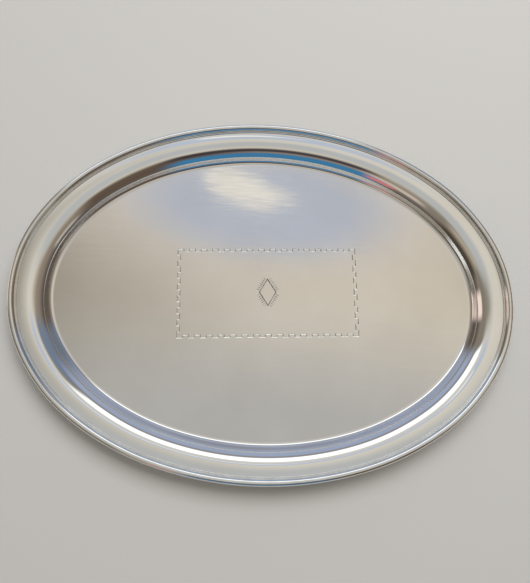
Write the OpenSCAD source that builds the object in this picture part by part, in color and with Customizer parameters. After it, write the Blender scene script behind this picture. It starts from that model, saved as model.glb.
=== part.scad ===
// Oval silver serving tray: one raised sheet with a sunken flat, a stepped-up border
// and a moulded wire soldered round its edge, with a light engraved frame on the flat.
// Millimetres, +Z up. The origin is under the middle of the tray, on the surface it
// stands on, and the long axis lies along X.

/* [Outline] */
// Length over the rim wire
tray_length = 440; // [400:5:560]
// Width over the rim wire
tray_width = 320; // [260:5:380]

/* [Sheet] */
// Thickness of the silver sheet
sheet_t = 1.0; // [0.8:0.1:1.5]
// Height of the border above the flat
border_rise = 14; // [13.5:0.5:20]
// Width of the plain border between the rim wire and the shoulder
border_w = 7; // [4:0.5:9]
// Slope of the border where it meets the shoulder, degrees
border_fall = 8; // [4:1:14]
// Radius of the rounded shoulder at the top of the well wall
shoulder_r = 18; // [8:0.5:20]
// Slope of the well wall, degrees
wall_slope = 60; // [50:1:64]
// Radius of the fillet where the well wall meets the flat
foot_r = 5; // [2:0.5:6]
// How far the sheet's cut edge stands in from the outermost line of the wire
edge_setback = 0.5; // [0.4:0.1:1]

/* [Rim wire] */
// Radius of the bead
bead_r = 3; // [2.4:0.1:3.6]
// Height of the bead's centre above the underside of the wire
bead_lift = 1.2; // [0.8:0.1:1.6]
// Width of the flat groove between the bead and the thread
groove_w = 0.8; // [0.6:0.1:2]
// Thickness of the wire under the groove
groove_t = 0.4; // [0.3:0.1:0.6]
// Radius of the fine thread along the wire's inner edge
thread_r = 0.5; // [0.3:0.1:0.7]

/* [Solder] */
// Thickness of the solder film under the wire
film_t = 0.15; // [0.1:0.05:0.25]
// How far the film stops short of each edge of the wire's seat
film_inset = 0.3; // [0.2:0.1:0.5]
// Width of the soldered butt joint where the two lengths of wire meet
butt_w = 0.3; // [0.2:0.1:0.6]

/* [Engraving] */
// Length of the engraved frame
frame_length = 162; // [120:1:190]
// Width of the engraved frame
frame_width = 81; // [60:1:110]
// Distance between the outer and the inner line of the stepped pattern
frame_step = 2.4; // [1.5:0.1:4]
// Length of one step of the pattern
step_length = 5.3; // [4:0.1:8]
// Turn of the engraving from the tray's long axis, degrees
engraving_turn = 2.7; // [-5:0.1:5]
// Place of the engraving's centre along the tray
engraving_x = 2.9; // [-5:0.1:5]
// Place of the engraving's centre across the tray
engraving_y = 4.1; // [-5:0.1:5]
// Width of an engraved line
line_w = 0.9; // [0.3:0.1:1.2]
// Depth of an engraved line
line_depth = 0.15; // [0.1:0.05:0.3]
// Width of the blank lozenge in the middle of the frame
lozenge_w = 16; // [12:1:24]
// Height of the blank lozenge
lozenge_h = 26; // [18:1:34]
// Length of the short strokes round the lozenge
stroke_length = 3; // [1:0.1:4]
// Number of strokes along each side of the lozenge
stroke_count = 7; // [3:1:9]

/* [Hidden] */
$fn = 180;

half_l = tray_length / 2;
half_w = tray_width / 2;

// The outline is an oval of arcs that run into each other without a corner. Four arcs make a
// quarter; they are split at these angles of the ellipse that the oval follows.
split = [0, 22.5, 45, 67.5, 90];
last = len(split) - 2;
spot = [for (t = split) [half_l * cos(t), half_w * sin(t)]];
turn = [for (t = split) atan2(half_l * sin(t), half_w * cos(t))];
across = [for (i = [0:last]) cos(turn[i]) - cos(turn[i + 1])];
along = [for (i = [0:last]) sin(turn[i + 1]) - sin(turn[i])];
chord_r = [for (i = [0:last]) norm(spot[i + 1] - spot[i]) / (2 * sin((turn[i + 1] - turn[i]) / 2))];

// The first and last radius close the quarter exactly on the tray's length and width
rest_x = half_l - chord_r[1] * across[1] - chord_r[2] * across[2];
rest_y = half_w - chord_r[1] * along[1] - chord_r[2] * along[2];
closing = across[0] * along[last] - across[last] * along[0];
end_r = (rest_x * along[last] - rest_y * across[last]) / closing;
side_r = (rest_y * across[0] - rest_x * along[0]) / closing;
arc_r = [end_r, chord_r[1], chord_r[2], side_r];

function unit(angle) = [cos(angle), sin(angle)];
function centre(i) =
    i == 0 ? [half_l - arc_r[0], 0] : centre(i - 1) + (arc_r[i - 1] - arc_r[i]) * unit(turn[i]);

// The arcs of one quarter, from the right end to the far side: [centre, radius, from, to].
// Each runs a hair into the next, so that they fuse.
arc_lap = 0.01;
function quarter_arcs(from) =
    [for (i = [0:last]) [centre(i), arc_r[i], i == 0 ? from : turn[i], turn[i + 1] + arc_lap]];

// Angle of the end arc that half a butt joint takes up
butt_half = asin(butt_w / 2 / end_r);

// Wire: its widths, counted inwards from the outermost line
bead_foot = bead_r - sqrt(bead_r ^ 2 - bead_lift ^ 2);
groove_from = bead_r + sqrt(bead_r ^ 2 - (bead_lift - groove_t) ^ 2);
thread_mid = groove_from + groove_w + thread_r;
wire_w = thread_mid + thread_r;

// Sheet: its upper surface, counted inwards from the outermost line and up from the underside
seat_land = 0.4;
seat_w = wire_w + seat_land;
seat_z = sheet_t + border_rise;
border_r = border_w / sin(border_fall);
shoulder_x = seat_w + border_w;
shoulder_z = seat_z - border_r * (1 - cos(border_fall));
wall_drop = shoulder_z - sheet_t - shoulder_r * (cos(border_fall) - cos(wall_slope))
    - foot_r * (1 - cos(wall_slope));
wall_x = shoulder_x + shoulder_r * (sin(wall_slope) - sin(border_fall));
wall_z = shoulder_z - shoulder_r * (cos(border_fall) - cos(wall_slope));
foot_x = wall_x + wall_drop / tan(wall_slope);
flat_x = foot_x + foot_r * sin(wall_slope);
floor_lap = 10;
lap_half = floor_lap / 2;
curve_steps = 10;
function steps(from, to) = [for (i = [0:curve_steps]) from + (to - from) * i / curve_steps];

// Each point is [inwards, up, slope]
sheet_path = concat(
    [[edge_setback, seat_z, 0]],
    [for (s = steps(0, border_fall))
        [seat_w + border_r * sin(s), seat_z - border_r * (1 - cos(s)), s]],
    [for (s = steps(border_fall, wall_slope))
        [shoulder_x + shoulder_r * (sin(s) - sin(border_fall)),
         shoulder_z - shoulder_r * (cos(border_fall) - cos(s)), s]],
    [for (s = steps(wall_slope, 0))
        [flat_x - foot_r * sin(s), sheet_t + foot_r * (1 - cos(s)), s]],
    [[flat_x + floor_lap, sheet_t, 0]]
);
path_end = len(sheet_path) - 1;

// Engraving: the stepped line of one side has an odd number of steps, so both ends lie outside
function odd_count(length) = 2 * round((length / step_length - 1) / 2) + 1;
function side_steps(length, reach) = let (n = odd_count(length))
    [for (i = [0:n - 1], k = [0, 1])
        if (i + k < n)
            [-length / 2 + length * (i + k) / n, reach - (i % 2) * frame_step]];
function spun(points, angle) =
    [for (p = points) [p[0] * cos(angle) - p[1] * sin(angle), p[0] * sin(angle) + p[1] * cos(angle)]];
frame_path = concat(
    spun(side_steps(frame_length, frame_width / 2), 0),
    spun(side_steps(frame_width, frame_length / 2), -90),
    spun(side_steps(frame_length, frame_width / 2), 180),
    spun(side_steps(frame_width, frame_length / 2), 90)
);
function heading(from, to) = (to - from) / norm(to - from);
function left_of(v) = [-v[1], v[0]];
// A line parallel to a closed path that only turns by right angles
function parallel(path, gap) = let (n = len(path))
    [for (i = [0:n - 1])
        let (before = heading(path[(i + n - 1) % n], path[i]))
            let (after = heading(path[i], path[(i + 1) % n]))
                path[i] + gap * (left_of(before) + left_of(after))];
lozenge_slope = atan2(lozenge_h, lozenge_w);
lozenge_side = norm([lozenge_w, lozenge_h]) / 2;
stroke_gap = 0.9;
cut_clear = 1;

// Carries a rim section round the far half of the oval
module half_rim(from) {
    for (side = [0, 1], arc = quarter_arcs(from))
        mirror([side, 0, 0])
            translate([arc[0][0], arc[0][1], 0])
                rotate_extrude(angle = arc[3] - arc[2], start = arc[2])
                    translate([arc[1], 0])
                        children();
}

// Carries a rim section all the way round
module whole_rim() {
    for (side = [0, 1])
        mirror([0, side, 0])
            half_rim(-arc_lap) children();
}

// Section of the sheet from its cut edge to a little way into the flat
module sheet_section() {
    upper = [for (p = sheet_path) [-p[0], p[1]]];
    lower = [for (i = [path_end:-1:0])
        let (p = sheet_path[i]) [-p[0] + sheet_t * sin(p[2]), p[1] - sheet_t * cos(p[2])]];
    polygon(concat(upper, lower));
}

// Section of the wire: bead, groove and thread on a flat underside
module wire_section() {
    bead_start = -asin(bead_lift / bead_r);
    bead_end = 180 + asin((bead_lift - groove_t) / bead_r);
    bead = [for (s = [0:24])
        let (t = bead_start + (bead_end - bead_start) * s / 24)
            [-bead_r + bead_r * cos(t), bead_lift + bead_r * sin(t)]];
    thread = [for (s = steps(0, 180)) [-thread_mid + thread_r * cos(s), groove_t + thread_r * sin(s)]];
    polygon(concat(bead, thread, [[-wire_w, 0]]));
}

module on_wire_seat() {
    translate([0, 0, seat_z + film_t]) children();
}

// Grooves of the stepped frame, the lozenge and its strokes, as flat shapes
module engraved_lines() {
    outer = parallel(frame_path, line_w / 2);
    inner = parallel(frame_path, -line_w / 2);
    count = len(outer);
    polygon(concat(outer, inner), [[for (i = [0:count - 1]) i], [for (i = [0:count - 1]) count + i]]);
    difference() {
        lozenge(0);
        lozenge(line_w);
    }
    for (mirror_x = [0, 1], mirror_y = [0, 1])
        mirror([mirror_x, 0])
            mirror([0, mirror_y])
                lozenge_strokes();
}

module lozenge(inset) {
    grow = 1 - inset / (lozenge_w / 2 * sin(lozenge_slope));
    polygon([for (s = [0:3]) grow * [lozenge_w / 2 * cos(90 * s), lozenge_h / 2 * sin(90 * s)]]);
}

// Strokes that taper outwards from one side of the lozenge
module lozenge_strokes() {
    side = lozenge_side * [-cos(lozenge_slope), sin(lozenge_slope)];
    stroke = [[stroke_gap, -line_w / 2], [stroke_gap + stroke_length, 0], [stroke_gap, line_w / 2]];
    for (s = [1:stroke_count])
        translate([lozenge_w / 2, 0] + side * s / (stroke_count + 1))
            rotate(90 - lozenge_slope)
                polygon(stroke);
}

// Raised sheet with its flat, well wall, shoulder and border, engraved on the flat
module tray_body() {
    quarter = [for (arc = quarter_arcs(0), s = [0:0.25:0.75])
        arc[0] + (arc[1] - flat_x - lap_half) * unit(arc[2] + (arc[3] - arc[2]) * s)];
    far_edge = concat(quarter, [for (i = [len(quarter) - 1:-1:1]) [-quarter[i][0], quarter[i][1]]]);
    flat_outline = concat(far_edge, [for (p = far_edge) -p]);
    color("gainsboro")
        difference() {
            union() {
                whole_rim() sheet_section();
                linear_extrude(sheet_t) polygon(flat_outline);
            }
            translate([engraving_x, engraving_y, sheet_t - line_depth])
                rotate([0, 0, engraving_turn])
                    linear_extrude(line_depth + cut_clear) engraved_lines();
        }
}

// Moulded wire along the far half of the rim
module rim_wire_far() {
    color("silver") on_wire_seat() half_rim(butt_half) wire_section();
}

// Moulded wire along the near half of the rim
module rim_wire_near() {
    mirror([0, 1, 0]) rim_wire_far();
}

// Soldered butt joint between the two lengths of wire, at the right end
module wire_joint_right() {
    color("darkgray")
        on_wire_seat()
            translate([centre(0)[0], 0, 0])
                rotate_extrude(angle = 2 * butt_half, start = -butt_half)
                    translate([end_r, 0])
                        wire_section();
}

// The same joint at the left end
module wire_joint_left() {
    mirror([1, 0, 0]) wire_joint_right();
}

// Film of solder between the sheet and the underside of the wire
module rim_solder_film() {
    outer = max(edge_setback, bead_foot) + film_inset;
    color("darkgray")
        translate([0, 0, seat_z])
            whole_rim()
                translate([film_inset - wire_w, 0])
                    square([wire_w - film_inset - outer, film_t]);
}

tray_body();
rim_wire_far();
rim_wire_near();
wire_joint_left();
wire_joint_right();
rim_solder_film();
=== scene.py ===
from functools import partial
from math import asin, atan2, cos, hypot, pi, radians, sin, tan

import bpy
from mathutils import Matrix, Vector


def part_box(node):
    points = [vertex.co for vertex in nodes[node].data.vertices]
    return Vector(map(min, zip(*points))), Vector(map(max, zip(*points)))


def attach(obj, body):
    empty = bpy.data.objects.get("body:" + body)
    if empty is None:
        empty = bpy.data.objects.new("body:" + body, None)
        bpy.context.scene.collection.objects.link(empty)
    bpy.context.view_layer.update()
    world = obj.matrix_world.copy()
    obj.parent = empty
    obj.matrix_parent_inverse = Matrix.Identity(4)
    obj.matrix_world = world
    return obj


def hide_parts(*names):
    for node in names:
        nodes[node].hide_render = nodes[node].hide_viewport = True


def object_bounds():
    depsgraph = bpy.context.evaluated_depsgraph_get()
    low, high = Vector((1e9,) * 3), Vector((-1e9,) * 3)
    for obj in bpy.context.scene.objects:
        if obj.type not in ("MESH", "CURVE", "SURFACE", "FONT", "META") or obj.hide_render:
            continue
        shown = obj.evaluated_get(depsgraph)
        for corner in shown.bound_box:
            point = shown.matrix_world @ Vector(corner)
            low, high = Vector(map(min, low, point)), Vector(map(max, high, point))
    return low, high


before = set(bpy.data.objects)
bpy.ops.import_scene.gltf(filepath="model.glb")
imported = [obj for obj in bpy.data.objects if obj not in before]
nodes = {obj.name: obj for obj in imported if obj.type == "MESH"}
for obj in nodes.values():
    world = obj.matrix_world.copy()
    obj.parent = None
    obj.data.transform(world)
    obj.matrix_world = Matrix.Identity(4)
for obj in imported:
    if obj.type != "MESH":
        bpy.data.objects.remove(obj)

cad_low, cad_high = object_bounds()
MM = 0.001
scene = bpy.context.scene
bpy.ops.object.select_all(action="DESELECT")


# ---------------------------------------------------------------------------------------------
# Camera
# Held at arm's length over the near side of the tray and looking down into it, leaning a little
# to the left of the middle.
# ---------------------------------------------------------------------------------------------
bpy.ops.object.camera_add(
    location=(-0.0184, -0.0939, 0.4679),
    rotation=(radians(11.83), radians(-2.70), radians(1.87)),
)
camera = bpy.context.object
camera.name = "camera"
camera.data.sensor_width = 36
camera.data.lens = 32.73
camera.data.clip_start = 0.01
scene.camera = camera
scene.view_settings.view_transform = "Standard"


# ---------------------------------------------------------------------------------------------
# Floor
# A plain pale floor under the tray, so wide that its edge is never seen from above. It isn't
# part of the tray.
# ---------------------------------------------------------------------------------------------
bpy.ops.mesh.primitive_plane_add(size=12, location=(0, 0, cad_low.z))
floor = bpy.context.object
floor.name = "floor"


def new_material(name, metallic, roughness):
    """A material with only its shader: returns the material, its node tree and the shader."""
    material = bpy.data.materials.new(name)
    material.use_nodes = True
    tree = material.node_tree
    shader = tree.nodes["Principled BSDF"]
    shader.inputs["Metallic"].default_value = metallic
    shader.inputs["Roughness"].default_value = roughness
    return material, tree, shader


def linear(red, green, blue):
    """A colour as a paint chart gives it, 0 to 255, in the linear values that nodes take."""
    parts = [c / 255 for c in (red, green, blue)]
    return [c / 12.92 if c < 0.04 else ((c + 0.055) / 1.055) ** 2.4 for c in parts] + [1]


def ramp_on(tree, value, *stops):
    """A colour ramp fed by a value: each stop is (position, linear colour)."""
    ramp = tree.nodes.new("ShaderNodeValToRGB")
    for element, (position, colour) in zip(ramp.color_ramp.elements, stops):
        element.position = position
        element.color = (*colour[:3], 1)
    for position, colour in stops[2:]:
        ramp.color_ramp.elements.new(position).color = (*colour[:3], 1)
    tree.links.new(value, ramp.inputs["Fac"])
    return ramp.outputs["Color"]


floor_paint, floor_tree, floor_shader = new_material("pale_floor", 0, 0.7)
mottle = floor_tree.nodes.new("ShaderNodeTexNoise")
mottle.inputs["Scale"].default_value = 3
mottle.inputs["Detail"].default_value = 6
shades = (0, linear(214, 212, 208)), (1, linear(228, 226, 222))
mottled = ramp_on(floor_tree, mottle.outputs["Fac"], *shades)
floor_tree.links.new(mottled, floor_shader.inputs["Base Color"])
floor.data.materials.append(floor_paint)


# ---------------------------------------------------------------------------------------------
# Light
# A room with a warm pale ceiling and one wide window on the far side, as soft shapes on the
# world's sphere, because polished silver shows only what it reflects. One large soft light
# overhead lights the floor and gives the tray its soft shadow.
# ---------------------------------------------------------------------------------------------
world = bpy.data.worlds.new("room")
scene.world = world
world.use_nodes = True
room = world.node_tree
room.nodes.clear()


def maths_on(tree, kind, *values):
    """One maths node, fed with numbers or with other nodes' outputs."""
    node = tree.nodes.new("ShaderNodeMath")
    node.operation = kind
    for socket, value in zip(node.inputs, values):
        if isinstance(value, (int, float)):
            socket.default_value = value
        else:
            tree.links.new(value, socket)
    return node.outputs[0]


reckon = partial(maths_on, room)


def fade(value, full, none):
    """1 where the value is at most full, falling softly to 0 where it is none."""
    node = room.nodes.new("ShaderNodeMapRange")
    node.interpolation_type = "SMOOTHSTEP"
    node.inputs["From Min"].default_value = full
    node.inputs["From Max"].default_value = none
    node.inputs["To Min"].default_value = 1
    node.inputs["To Max"].default_value = 0
    room.links.new(value, node.inputs["Value"])
    return node.outputs[0]


direction = room.nodes.new("ShaderNodeTexCoord")
split = room.nodes.new("ShaderNodeSeparateXYZ")
room.links.new(direction.outputs["Generated"], split.inputs[0])
to_right, to_far, upwards = split.outputs
# Where a look meets a ceiling one unit up, and its bearing and its tilt from straight up
LEAST_RISE = 0.05
STRAIGHT_UP = 0.99999
ceiling_z = reckon("MAXIMUM", upwards, LEAST_RISE)
ceiling_x = reckon("DIVIDE", to_right, ceiling_z)
ceiling_y = reckon("DIVIDE", to_far, ceiling_z)
bearing = reckon("DEGREES", reckon("ARCTAN2", to_far, to_right))
tilt = reckon("DEGREES", reckon("ARCCOSINE", reckon("MINIMUM", upwards, STRAIGHT_UP)))


def paint_over(under, mask, colour):
    """Lays a colour over what is already there, as far as the mask says."""
    node = room.nodes.new("ShaderNodeMix")
    node.data_type = "RGBA"
    node.inputs["B"].default_value = colour
    room.links.new(mask, node.inputs["Factor"])
    room.links.new(under, node.inputs["A"])
    return node.outputs["Result"]


def wall_patch(under, towards, spread, height, reach, soft, strength, colour):
    """A soft-edged patch on the walls, with its bearing and its tilt from straight up in degrees."""
    sideways = reckon("ABSOLUTE", reckon("WRAP", reckon("SUBTRACT", bearing, towards), 180, -180))
    updown = reckon("ABSOLUTE", reckon("SUBTRACT", tilt, height))
    across = fade(sideways, spread - soft, spread + soft)
    along = fade(updown, reach - soft, reach + soft)
    mask = reckon("MULTIPLY", reckon("MULTIPLY", across, along), strength)
    return paint_over(under, mask, colour)


def ceiling_patch(under, middle, size, turned, soft, strength, colour):
    """A soft-edged oval on the ceiling, in units of the ceiling's height."""
    x = reckon("SUBTRACT", ceiling_x, middle[0])
    y = reckon("SUBTRACT", ceiling_y, middle[1])
    c, s = cos(radians(turned)), sin(radians(turned))
    along = reckon("ADD", reckon("MULTIPLY", x, c / size[0]), reckon("MULTIPLY", y, s / size[0]))
    across = reckon("ADD", reckon("MULTIPLY", x, -s / size[1]), reckon("MULTIPLY", y, c / size[1]))
    reach = reckon("SQRT", reckon("ADD", reckon("POWER", along, 2), reckon("POWER", across, 2)))
    mask = reckon("MULTIPLY", fade(reach, 1 - soft, 1 + soft), strength)
    return paint_over(under, mask, colour)


# Ceiling and walls, from straight up down to the floor: warm and pale, then brown, then dark
view = ramp_on(
    room,
    reckon("DIVIDE", tilt, 90),
    (0, linear(214, 210, 200)),
    (1, linear(76, 70, 66)),
    (24 / 90, linear(210, 205, 192)),
    (36 / 90, linear(176, 167, 153)),
    (48 / 90, linear(146, 134, 119)),
    (66 / 90, linear(132, 121, 110)),
    (80 / 90, linear(98, 90, 84)),
)
# The ceiling is darker towards the left, and greyer over the near side
view = ceiling_patch(view, (-0.95, 0.1), (0.75, 1.5), 0, 0.45, 0.75, linear(124, 120, 110))
view = ceiling_patch(view, (0.0, -0.16), (0.8, 0.26), 0, 0.5, 0.95, linear(181, 184, 184))
# Dark near wall, a pale panel each side of it, and a pale pink one at the left
view = wall_patch(view, 300, 22, 58, 20, 8, 0.85, linear(84, 69, 57))
view = wall_patch(view, 272, 20, 43, 8, 5, 0.95, linear(58, 54, 62))
view = wall_patch(view, 245, 9, 57, 8, 4, 0.8, linear(206, 192, 180))
view = wall_patch(view, 206, 14, 45, 8, 5, 0.7, linear(184, 171, 151))
view = wall_patch(view, 206, 18, 78, 14, 6, 0.8, linear(66, 56, 44))
view = wall_patch(view, 168, 9, 74, 12, 4, 0.95, linear(250, 228, 218))
view = wall_patch(view, 335, 9, 70, 6, 4, 0.8, linear(188, 186, 178))
# Blue panel low down at the near side, with a narrow pink one beside it
view = wall_patch(view, 270, 21, 78, 18, 5, 1.0, linear(62, 122, 164))
view = wall_patch(view, 249, 4, 72, 8, 2, 0.9, linear(206, 122, 122))
# Window on the far side, grey-blue walls beside and under it
view = wall_patch(view, 50, 14, 62, 24, 7, 0.9, linear(112, 128, 150))
view = wall_patch(view, 96, 40, 80, 16, 7, 1.0, linear(156, 169, 195))
view = wall_patch(view, 101, 32, 45, 10.5, 4, 1.0, [1.25, 1.36, 1.42, 1])
# On the ceiling at the far side, a pale stretch, bluer shade on it, and a lamp in the shade
view = ceiling_patch(view, (0.0, 0.48), (0.55, 0.2), 0, 0.5, 0.85, linear(214, 210, 202))
view = ceiling_patch(view, (0.03, 0.39), (0.25, 0.105), -4, 0.4, 0.9, linear(180, 192, 211))
view = ceiling_patch(view, (-0.016, 0.420), (0.080, 0.032), -20, 0.12, 0.95, linear(241, 240, 231))
view = ceiling_patch(view, (0.062, 0.405), (0.040, 0.010), -12, 0.15, 0.95, linear(237, 236, 227))

plain = room.nodes.new("ShaderNodeRGB")
plain.outputs[0].default_value = linear(226, 225, 222)
ray = room.nodes.new("ShaderNodeLightPath")
backdrop = room.nodes.new("ShaderNodeMix")
backdrop.data_type = "RGBA"
room.links.new(ray.outputs["Is Camera Ray"], backdrop.inputs["Factor"])
room.links.new(view, backdrop.inputs["A"])
room.links.new(plain.outputs[0], backdrop.inputs["B"])
glow = room.nodes.new("ShaderNodeBackground")
room.links.new(backdrop.outputs["Result"], glow.inputs["Color"])
sky = room.nodes.new("ShaderNodeOutputWorld")
room.links.new(glow.outputs[0], sky.inputs["Surface"])

bpy.ops.object.light_add(type="AREA", location=(0.3, 0.9, 1.4), rotation=(radians(-33), 0, radians(-18)))
softbox = bpy.context.object
softbox.name = "softbox"
softbox.data.shape = "RECTANGLE"
softbox.data.size = 1.4
softbox.data.size_y = 1.0
softbox.data.energy = 16
softbox.visible_glossy = False
softbox.visible_camera = False


# ---------------------------------------------------------------------------------------------
# Tray body
# One sheet of silver a millimetre thick, raised to a flat, a well wall, a rounded shoulder and
# a border. Its section is drawn once and carried round the oval on the arcs' own centres.
# ---------------------------------------------------------------------------------------------
half_length = (cad_high.x - cad_low.x) / 2
half_width = (cad_high.y - cad_low.y) / 2
sheet_low, sheet_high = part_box("tray_body")
SHEET = 1.0 * MM
BORDER_TOP = sheet_high.z
EDGE_SETBACK = 0.5 * MM
WIRE_SEAT = 8.09 * MM
BORDER_WIDTH = 7 * MM
BORDER_FALL = radians(8)
SHOULDER_RADIUS = 18 * MM
WALL_SLOPE = radians(60)
FOOT_RADIUS = 5 * MM
FLAT_LAP = 0.6 * MM
RING_SPACING = 2.4 * MM
FEWEST_RINGS = 6
BORDER_STEPS = 8
SHOULDER_STEPS = 28
FOOT_STEPS = 18
EDGE_ROUNDING = 0.15 * MM
SHARP_EDGE = radians(50)
WELD = 0.004 * MM


def oval_arcs():
    """The oval as arcs that run into each other: (centre x, centre y, radius, from, to)."""
    cuts = [radians(d) for d in (0, 22.5, 45, 67.5, 90)]
    spots = [(half_length * cos(t), half_width * sin(t)) for t in cuts]
    turns = [atan2(half_length * sin(t), half_width * cos(t)) for t in cuts]
    across = [cos(a) - cos(b) for a, b in zip(turns, turns[1:])]
    along = [sin(b) - sin(a) for a, b in zip(turns, turns[1:])]
    radii = []
    for (ax, ay), (bx, by), a, b in zip(spots, spots[1:], turns, turns[1:]):
        radii.append(hypot(bx - ax, by - ay) / (2 * sin((b - a) / 2)))
    rest_x = half_length - radii[1] * across[1] - radii[2] * across[2]
    rest_y = half_width - radii[1] * along[1] - radii[2] * along[2]
    closing = across[0] * along[3] - across[3] * along[0]
    radii[0] = (rest_x * along[3] - rest_y * across[3]) / closing
    radii[3] = (rest_y * across[0] - rest_x * along[0]) / closing
    x, y = half_length - radii[0], 0
    quarter = []
    for i, radius in enumerate(radii):
        if i:
            x += (radii[i - 1] - radius) * cos(turns[i])
            y += (radii[i - 1] - radius) * sin(turns[i])
        quarter.append((x, y, radius, turns[i], turns[i + 1]))
    far = quarter + [(-x, y, r, pi - b, pi - a) for x, y, r, a, b in reversed(quarter)]
    return far, far + [(-x, -y, r, pi + a, pi + b) for x, y, r, a, b in far]


far_arcs, all_arcs = oval_arcs()
end_centre, end_radius = far_arcs[0][0], far_arcs[0][2]


def start_drawing(name, x, z):
    """One point of a section at the tray's right end, in edit mode."""
    bpy.ops.object.select_all(action="DESELECT")
    bpy.ops.mesh.primitive_plane_add(size=MM, location=(x, 0, z))
    piece = bpy.context.object
    piece.name = name
    bpy.ops.object.transform_apply(location=True)
    bpy.ops.object.mode_set(mode="EDIT")
    bpy.ops.mesh.select_mode(type="VERT")
    bpy.ops.mesh.select_all(action="SELECT")
    bpy.ops.mesh.merge(type="CENTER")
    return piece


def draw_line(dx, dz):
    """Draws a straight stretch of the section on from its last point."""
    bpy.ops.mesh.extrude_region_move(TRANSFORM_OT_translate={"value": (dx, 0, dz)})


def draw_arc(x, z, angle, steps):
    """Draws a curve on from the last point round (x, z): over the top to the left is positive."""
    bpy.ops.mesh.spin(steps=steps, angle=angle, center=(x, 0, z), axis=(0, 1, 0))


def carry_round(arcs):
    """Carries the drawn section round the oval, arc after arc, against the clock."""
    bpy.ops.mesh.select_all(action="SELECT")
    for x, y, radius, start, end in arcs:
        steps = max(FEWEST_RINGS, round(radius * (end - start) / RING_SPACING))
        bpy.ops.mesh.spin(steps=steps, angle=start - end, center=(x, y, 0), axis=(0, 0, 1))
    bpy.ops.mesh.select_all(action="SELECT")
    bpy.ops.mesh.remove_doubles(threshold=WELD)


def point_faces_out(piece, upwards=False):
    """Turns every face outwards, or an open sheet's faces upwards."""
    bpy.ops.mesh.select_all(action="SELECT")
    bpy.ops.mesh.normals_make_consistent(inside=False)
    bpy.ops.object.mode_set(mode="OBJECT")
    if upwards and sum(face.normal.z * face.area for face in piece.data.polygons) < 0:
        bpy.ops.object.mode_set(mode="EDIT")
        bpy.ops.mesh.select_all(action="SELECT")
        bpy.ops.mesh.flip_normals()
        bpy.ops.object.mode_set(mode="OBJECT")


def apply_all(piece):
    """Applies a piece's modifiers from first to last."""
    bpy.ops.object.select_all(action="DESELECT")
    piece.select_set(True)
    bpy.context.view_layer.objects.active = piece
    for modifier in list(piece.modifiers):
        bpy.ops.object.modifier_apply(modifier=modifier.name)


tray_body = start_drawing("tray_sheet", half_length - EDGE_SETBACK, BORDER_TOP)
border_from = half_length - WIRE_SEAT
border_radius = BORDER_WIDTH / sin(BORDER_FALL)
draw_line(border_from - half_length + EDGE_SETBACK, 0)
draw_arc(border_from, BORDER_TOP - border_radius, BORDER_FALL, BORDER_STEPS)
shoulder_from = border_from - BORDER_WIDTH
shoulder_top = BORDER_TOP - border_radius * (1 - cos(BORDER_FALL))
draw_arc(
    shoulder_from + SHOULDER_RADIUS * sin(BORDER_FALL),
    shoulder_top - SHOULDER_RADIUS * cos(BORDER_FALL),
    WALL_SLOPE - BORDER_FALL,
    SHOULDER_STEPS,
)
wall_from = shoulder_from - SHOULDER_RADIUS * (sin(WALL_SLOPE) - sin(BORDER_FALL))
wall_top = shoulder_top - SHOULDER_RADIUS * (cos(BORDER_FALL) - cos(WALL_SLOPE))
flat_top = sheet_low.z + SHEET
wall_drop = wall_top - flat_top - FOOT_RADIUS * (1 - cos(WALL_SLOPE))
foot_from = wall_from - wall_drop / tan(WALL_SLOPE)
draw_line(foot_from - wall_from, -wall_drop)
flat_edge = foot_from - FOOT_RADIUS * sin(WALL_SLOPE)
draw_arc(flat_edge, flat_top + FOOT_RADIUS, -WALL_SLOPE, FOOT_STEPS)
draw_line(-FLAT_LAP, 0)
carry_round(all_arcs)
bpy.ops.mesh.select_all(action="DESELECT")
bpy.ops.mesh.select_non_manifold(use_wire=False, use_multi_face=False, use_non_contiguous=False)
bpy.ops.object.mode_set(mode="OBJECT")
corners = tray_body.data.vertices
for corner in corners:
    corner.select = corner.select and corner.co.z < flat_top + WELD
for edge in tray_body.data.edges:
    edge.select = all(corners[end].select for end in edge.vertices)
bpy.ops.object.mode_set(mode="EDIT")
bpy.ops.mesh.edge_face_add()
point_faces_out(tray_body, upwards=True)
bpy.ops.object.modifier_add(type="SOLIDIFY")
tray_body.modifiers[-1].thickness = SHEET
tray_body.modifiers[-1].offset = -1
tray_body.modifiers[-1].use_even_offset = True
bpy.ops.object.modifier_add(type="BEVEL")
tray_body.modifiers[-1].width = EDGE_ROUNDING
tray_body.modifiers[-1].segments = 2
tray_body.modifiers[-1].limit_method = "ANGLE"
tray_body.modifiers[-1].angle_limit = SHARP_EDGE
apply_all(tray_body)

silver, silver_tree, silver_shader = new_material("polished_silver", 1, 0.05)


def place_on(tree):
    """Where a point lies on the tray, in metres."""
    return tree.nodes.new("ShaderNodeTexCoord").outputs["Object"]


def noise_on(tree, place, scale, detail):
    """A noise pattern laid over the piece."""
    texture = tree.nodes.new("ShaderNodeTexNoise")
    texture.inputs["Scale"].default_value = scale
    texture.inputs["Detail"].default_value = detail
    tree.links.new(place, texture.inputs["Vector"])
    return texture.outputs["Fac"]


def stretch_on(tree, place, squeeze, turned):
    """The place on the piece, squeezed along each axis and turned, for a pattern of streaks."""
    mapping = tree.nodes.new("ShaderNodeMapping")
    mapping.inputs["Scale"].default_value = squeeze
    mapping.inputs["Rotation"].default_value = (0, 0, radians(turned))
    tree.links.new(place, mapping.inputs["Vector"])
    return mapping.outputs["Vector"]


def range_on(tree, value, low, high, to_low, to_high):
    """Carries a value from one range to another, and no further than its ends."""
    node = tree.nodes.new("ShaderNodeMapRange")
    node.inputs["From Min"].default_value = low
    node.inputs["From Max"].default_value = high
    node.inputs["To Min"].default_value = to_low
    node.inputs["To Max"].default_value = to_high
    tree.links.new(value, node.inputs["Value"])
    return node.outputs["Result"]


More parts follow.
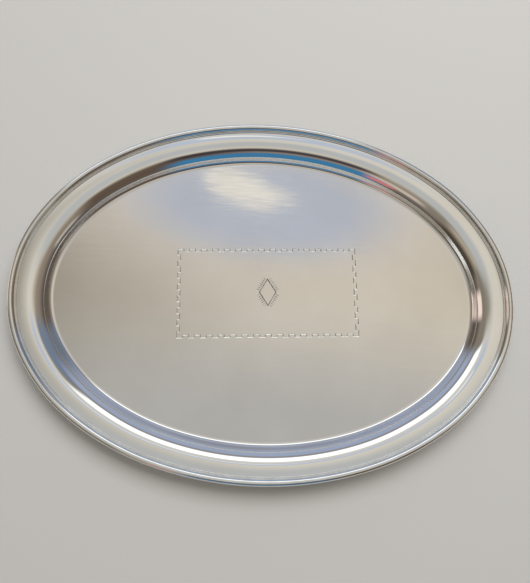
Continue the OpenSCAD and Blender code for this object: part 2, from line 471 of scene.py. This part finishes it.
def dents_on(tree, height, depth, strength=None, under=None):
    """Bumps of a given depth, as strong as a mask says, over other bumps if there are any."""
    node = tree.nodes.new("ShaderNodeBump")
    node.inputs["Distance"].default_value = depth
    tree.links.new(height, node.inputs["Height"])
    if strength:
        tree.links.new(strength, node.inputs["Strength"])
    if under:
        tree.links.new(under, node.inputs["Normal"])
    return node.outputs["Normal"]


WAVE_DEPTH = 0.06 * MM
STREAK_DEPTH = 0.026 * MM
SCRATCH_DEPTH = 0.002 * MM
STREAK_TURN = 2
POLISH = 0.035
silver_place = place_on(silver_tree)
silver_height = silver_tree.nodes.new("ShaderNodeSeparateXYZ")
silver_tree.links.new(silver_place, silver_height.inputs[0])
# Wear: all over the flat and the lowest part of the foot curve, and little above them
worn = range_on(silver_tree, silver_height.outputs["Z"], flat_top + 0.1 * MM, flat_top + 1.5 * MM, 1, 0.12)
tarnish = noise_on(silver_tree, silver_place, 16, 5)
bright = ramp_on(silver_tree, tarnish, (0.3, (0.925, 0.912, 0.885)), (0.7, (0.965, 0.958, 0.945)))
handled = ramp_on(silver_tree, tarnish, (0.3, (0.86, 0.81, 0.765)), (0.7, (0.92, 0.875, 0.835)))
wear_mix = silver_tree.nodes.new("ShaderNodeMix")
wear_mix.data_type = "RGBA"
silver_tree.links.new(worn, wear_mix.inputs["Factor"])
silver_tree.links.new(bright, wear_mix.inputs["A"])
silver_tree.links.new(handled, wear_mix.inputs["B"])
silver_tree.links.new(wear_mix.outputs["Result"], silver_shader.inputs["Base Color"])
# Polishing leaves streaks along the tray, from broad soft ones to fine scratches
broad_place = stretch_on(silver_tree, silver_place, (22, 200, 60), STREAK_TURN)
fine_place = stretch_on(silver_tree, silver_place, (60, 900, 300), STREAK_TURN)
broad_streaks = noise_on(silver_tree, broad_place, 1, 3)
fine_streaks = noise_on(silver_tree, fine_place, 1, 2)
waves = noise_on(silver_tree, silver_place, 14, 1)
scratch_haze = range_on(silver_tree, fine_streaks, 0.3, 0.7, 0.015, 0.08)
haze = maths_on(silver_tree, "MULTIPLY", worn, scratch_haze)
silver_tree.links.new(maths_on(silver_tree, "ADD", haze, POLISH), silver_shader.inputs["Roughness"])
waved = dents_on(silver_tree, waves, WAVE_DEPTH)
streaked = dents_on(silver_tree, broad_streaks, STREAK_DEPTH, worn, waved)
scratched = dents_on(silver_tree, fine_streaks, SCRATCH_DEPTH, worn, streaked)
silver_tree.links.new(scratched, silver_shader.inputs["Normal"])
tray_body.data.materials.append(silver)
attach(tray_body, "root")
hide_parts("tray_body")


# ---------------------------------------------------------------------------------------------
# Engraving
# A stepped frame on the flat, cut with a graver as one V-shaped groove, and in its middle a
# blank lozenge with short tapering strokes all round it. It stands a little turned.
# ---------------------------------------------------------------------------------------------
FRAME_SIZE = (162 * MM, 81 * MM)
FRAME_STEP = 2.4 * MM
STEP_LENGTH = 5.3 * MM
LINE_WIDTH = 0.9 * MM
LINE_DEPTH = 0.15 * MM
LOZENGE_SIZE = (16 * MM, 26 * MM)
STROKE_LENGTH = 3 * MM
STROKE_GAP = 0.9 * MM
STROKE_COUNT = 7
GRAVER_CLEARANCE = 0.1 * MM
FRAME_MIDDLE = (2.9 * MM, 4.1 * MM, 0)
FRAME_TURN = radians(2.7)
CUT_CREASE = radians(12)


def start_outline(name, x, y):
    """One point of a closed outline on the flat, in edit mode, level with the graver's heel."""
    piece = start_drawing(name, x, flat_top + GRAVER_CLEARANCE)
    bpy.ops.transform.translate(value=(0, y, 0))
    return piece


def draw_run(dx, dy):
    """Draws the outline on from its last point."""
    bpy.ops.mesh.extrude_region_move(TRANSFORM_OT_translate={"value": (dx, dy, 0)})


def cut_to_v():
    """Turns the outline into what the graver takes out: a ring, V-shaped below and flat on top."""
    depth = LINE_DEPTH + GRAVER_CLEARANCE
    half = LINE_WIDTH / 2 * depth / LINE_DEPTH
    bpy.ops.mesh.select_all(action="SELECT")
    bpy.ops.mesh.remove_doubles(threshold=WELD)
    bpy.ops.mesh.edge_face_add()
    for rise in (-depth, depth):
        bpy.ops.mesh.inset(thickness=half, use_even_offset=True)
        bpy.ops.transform.translate(value=(0, 0, rise))
    bpy.ops.mesh.delete(type="ONLY_FACE")
    bpy.ops.mesh.select_all(action="DESELECT")
    bpy.ops.mesh.select_non_manifold(use_wire=False, use_multi_face=False, use_non_contiguous=False)
    bpy.ops.mesh.bridge_edge_loops()
    point_faces_out(bpy.context.object)


def noisy_silver(name, roughness, scale, detail, low, high):
    """Silver whose colour wanders between two: each is (noise value, linear colour)."""
    material, tree, shader = new_material(name, 1, roughness)
    noise = noise_on(tree, place_on(tree), scale, detail)
    tree.links.new(ramp_on(tree, noise, low, high), shader.inputs["Base Color"])
    return material, tree, shader, noise


# The frame's line is clean and bright, and the lozenge's is stained dark
bright_cut = noisy_silver(
    "bright_cut", 0.16, 400, 4, (0.35, (0.62, 0.60, 0.56)), (0.6, (0.94, 0.93, 0.91))
)[0]
stained_cut = noisy_silver(
    "stained_cut", 0.28, 400, 4, (0.35, (0.16, 0.15, 0.13)), (0.6, (0.50, 0.48, 0.44))
)[0]

# The outline's outer side runs half the ring's width outside the line itself
ring_half = LINE_WIDTH / 2 * (LINE_DEPTH + GRAVER_CLEARANCE) / LINE_DEPTH
corner_x, corner_y = (size / 2 + ring_half for size in FRAME_SIZE)
graver_cut = start_outline("graver_cut", corner_x, -corner_y)
for side, length in enumerate((FRAME_SIZE[1], FRAME_SIZE[0]) * 2):
    runs = 2 * round((length / STEP_LENGTH - 1) / 2) + 1
    along = Vector((cos(side * pi / 2 + pi / 2), sin(side * pi / 2 + pi / 2)))
    inwards = Vector((-along.y, along.x))
    for run in range(runs):
        lap = ring_half if run % 2 == 0 else -ring_half
        draw_run(*(along * (length / runs + 2 * lap)))
        if run < runs - 1:
            draw_run(*(inwards * (FRAME_STEP if run % 2 == 0 else -FRAME_STEP)))
cut_to_v()
graver_cut.data.materials.append(bright_cut)

half_lozenge = Vector(LOZENGE_SIZE) / 2
lozenge_slope = atan2(half_lozenge.y, half_lozenge.x)
grown = 1 + (ring_half - LINE_WIDTH / 2) / (half_lozenge.x * sin(lozenge_slope))
lozenge_cut = start_outline("lozenge_cut", grown * half_lozenge.x, 0)
for right, far in ((-1, 1), (-1, -1), (1, -1), (1, 1)):
    draw_run(grown * half_lozenge.x * right, grown * half_lozenge.y * far)
cut_to_v()
lozenge_cut.data.materials.append(stained_cut)

bpy.ops.object.select_all(action="DESELECT")
bpy.ops.mesh.primitive_cone_add(vertices=4, radius1=1, depth=1)
bpy.context.object.scale = (LINE_DEPTH, LINE_WIDTH / 2, STROKE_LENGTH)
bpy.context.object.data.materials.append(stained_cut)
outwards = pi / 2 - lozenge_slope
strokes = []
for right in (-1, 1):
    for far in (-1, 1):
        for place in range(1, STROKE_COUNT + 1):
            share = place / (STROKE_COUNT + 1)
            reach = STROKE_GAP + STROKE_LENGTH / 2
            stroke = bpy.context.object
            stroke.location = (
                right * (half_lozenge.x * (1 - share) + reach * cos(outwards)),
                far * (half_lozenge.y * share + reach * sin(outwards)),
                flat_top,
            )
            stroke.rotation_euler = (0, pi / 2, atan2(far * sin(outwards), right * cos(outwards)))
            strokes.append(stroke)
            bpy.ops.object.duplicate()
bpy.ops.object.delete()
for cutter in strokes + [lozenge_cut, graver_cut]:
    cutter.select_set(True)
bpy.context.view_layer.objects.active = graver_cut
bpy.ops.object.join()
bpy.ops.object.transform_apply()
graver_cut.location = FRAME_MIDDLE
graver_cut.rotation_euler.z = FRAME_TURN
bpy.ops.object.transform_apply()

bpy.ops.object.select_all(action="DESELECT")
tray_body.select_set(True)
bpy.context.view_layer.objects.active = tray_body
bpy.ops.object.modifier_add(type="BOOLEAN")
tray_body.modifiers[-1].object = graver_cut
tray_body.modifiers[-1].operation = "DIFFERENCE"
tray_body.modifiers[-1].solver = "EXACT"
tray_body.modifiers[-1].material_mode = "TRANSFER"
apply_all(tray_body)
bpy.data.objects.remove(graver_cut)
bpy.ops.object.shade_smooth_by_angle(angle=CUT_CREASE)


# ---------------------------------------------------------------------------------------------
# Rim wires
# A drawn silver wire with a bead, a flat groove and a fine thread, bent to the oval in two
# lengths and soldered along the edge of the sheet.
# ---------------------------------------------------------------------------------------------
BEAD_RADIUS = 3 * MM
BEAD_LIFT = 1.2 * MM
GROOVE_WIDTH = 0.8 * MM
GROOVE_THICKNESS = 0.4 * MM
THREAD_RADIUS = 0.5 * MM
BUTT_WIDTH = 0.3 * MM
BEAD_STEPS = 30
THREAD_STEPS = 10
WIRE_CREASE = radians(25)

bead_z = cad_high.z - BEAD_RADIUS
wire_foot = bead_z - BEAD_LIFT
bead_x = half_length - BEAD_RADIUS
bead_start = asin(BEAD_LIFT / BEAD_RADIUS)
bead_end = pi + asin((BEAD_LIFT - GROOVE_THICKNESS) / BEAD_RADIUS)
groove_x = bead_x + BEAD_RADIUS * cos(bead_end)
thread_x = groove_x - GROOVE_WIDTH - THREAD_RADIUS
rim_wire_far = start_drawing("wire_far", bead_x + BEAD_RADIUS * cos(bead_start), wire_foot)
draw_arc(bead_x, bead_z, bead_start + bead_end, BEAD_STEPS)
draw_line(-GROOVE_WIDTH, 0)
draw_arc(thread_x, wire_foot + GROOVE_THICKNESS, pi, THREAD_STEPS)
draw_line(0, -GROOVE_THICKNESS)
bpy.ops.mesh.select_all(action="SELECT")
bpy.ops.mesh.edge_face_add()
butt_half = asin(BUTT_WIDTH / 2 / end_radius)
bpy.ops.transform.rotate(value=-butt_half, orient_axis="Z", center_override=(end_centre, 0, 0))
wire_arcs = [list(arc) for arc in far_arcs]
wire_arcs[0][3] += butt_half
wire_arcs[-1][4] -= butt_half
carry_round(wire_arcs)
point_faces_out(rim_wire_far)
bpy.ops.object.shade_smooth_by_angle(angle=WIRE_CREASE)

wire_silver = noisy_silver(
    "polished_wire", 0.06, 90, 5, (0.3, (0.86, 0.84, 0.80)), (0.7, (0.94, 0.93, 0.91))
)[0]
rim_wire_far.data.materials.append(wire_silver)

bpy.ops.object.select_all(action="DESELECT")
rim_wire_far.select_set(True)
bpy.context.view_layer.objects.active = rim_wire_far
bpy.ops.object.duplicate()
rim_wire_near = bpy.context.object
rim_wire_near.name = "wire_near"
rim_wire_near.scale.y = -1
bpy.ops.object.transform_apply()
bpy.ops.object.mode_set(mode="EDIT")
point_faces_out(rim_wire_near)
for wire, node in ((rim_wire_far, "rim_wire_far"), (rim_wire_near, "rim_wire_near")):
    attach(wire, "root")
    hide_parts(node)


# ---------------------------------------------------------------------------------------------
# Solder
# Silver solder, greyer than the sheet: a thin film under the wire, and a filled butt joint at
# each end of the tray, where the two lengths of wire meet.
# ---------------------------------------------------------------------------------------------
PIT_DEPTH = 0.02 * MM
solder, solder_tree, solder_shader, pits = noisy_silver(
    "solder_seam", 0.3, 900, 4, (0, (0.62, 0.61, 0.58)), (1, (0.84, 0.83, 0.80))
)
solder_tree.links.new(dents_on(solder_tree, pits, PIT_DEPTH), solder_shader.inputs["Normal"])
for node in ("wire_joint_left", "wire_joint_right", "rim_solder_film"):
    for slot in nodes[node].material_slots:
        slot.material = solder
